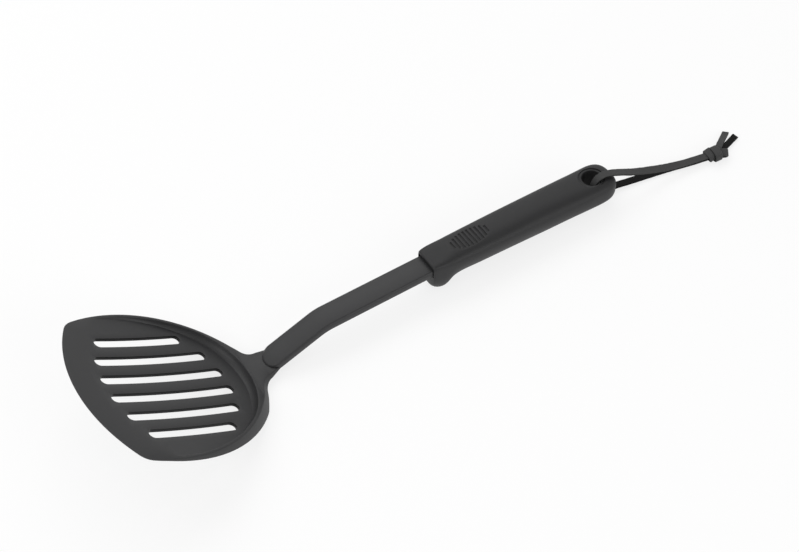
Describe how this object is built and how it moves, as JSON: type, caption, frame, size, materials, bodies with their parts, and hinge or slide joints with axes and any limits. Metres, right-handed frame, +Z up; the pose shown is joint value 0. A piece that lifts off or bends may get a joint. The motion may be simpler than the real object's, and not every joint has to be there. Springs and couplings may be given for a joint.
{
  "type": "slotted kitchen turner",
  "caption": "Slotted kitchen turner: dished nylon blade with a raised rim on a cranked shank, soft-grip handle with thumb rest and hanging hole, and a knotted leather lace loop.",
  "frame": {"origin": "on the table, under the middle of the tool's length, where the tool rests on the heel of its blade and on its finger guard", "axes": "+X along the handle from the blade towards the hanging hole, +Z up, +Y to the left when looking along +X"},
  "size_m": [0.4371, 0.1072, 0.0599],
  "materials": {
    "nylon": "moulded, finely sparked satin",
    "core_plastic": "moulded, matte",
    "soft_grip": "soft-touch thermoplastic elastomer, matte",
    "lace_leather": "dyed split leather with dark cut edges"
  },
  "bodies": {
    "turner": {"turner_head": "nylon", "handle_core": "core_plastic", "grip_sleeve": "soft_grip"},
    "lace": {"lace_upper": "lace_leather", "lace_lower": "lace_leather", "lace_knot": "lace_leather"}
  },
  "joints": [
    {"name": "lace_swing", "type": "hinge", "parent": "turner", "child": "lace", "pos_m": [0.1558, 0, 0.0137], "axis": [0, 0, 1], "range_deg": [-50, 60]}
  ]
}
